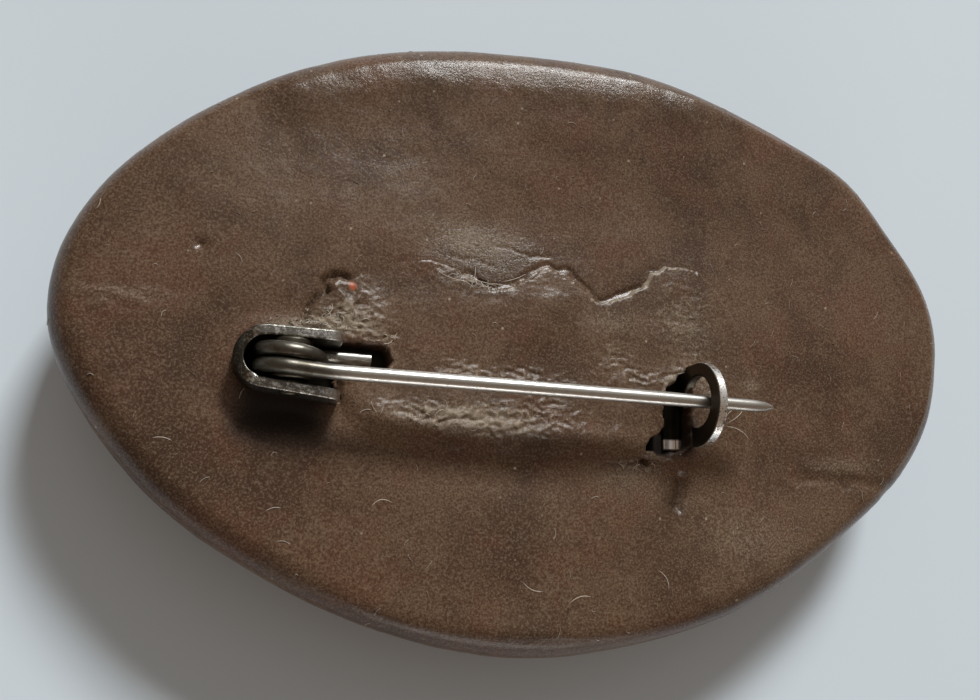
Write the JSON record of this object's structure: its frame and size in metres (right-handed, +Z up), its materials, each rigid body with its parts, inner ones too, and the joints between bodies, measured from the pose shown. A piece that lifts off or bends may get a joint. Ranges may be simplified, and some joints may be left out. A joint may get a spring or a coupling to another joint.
{
  "type": "flower brooch",
  "caption": "Oval clay brooch lying on its flower front, back up, with a steel pin that swings on a riveted hinge and snaps under an open hook.",
  "frame": {"origin": "middle of the brooch's bounding box, on the surface it lies on", "axes": "+X along the pin towards its point, +Z up, out of the brooch's back; the flower faces -Z"},
  "size_m": [0.0626, 0.0412, 0.0123],
  "materials": {
    "clay": "unglazed brown polymer clay",
    "steel": "dull nickel-plated steel",
    "petals": "brick-red polymer clay",
    "flower_centre": "dark red polymer clay"
  },
  "bodies": {
    "brooch": {"clay_backing": "clay", "clay_patch": "clay", "pin_base": "steel", "hinge_rivet": "steel", "petal_1": "petals", "petal_2": "petals", "petal_3": "petals", "petal_4": "petals", "petal_5": "petals", "flower_centre": "flower_centre"},
    "pin": {"pin_wire": "steel"}
  },
  "joints": [
    {"name": "pin_swing", "type": "hinge", "parent": "brooch", "child": "pin", "pos_m": [-0.0174, -0.00453, 0.00909], "axis": [0, -1, 0], "range_deg": [0, 85]}
  ]
}
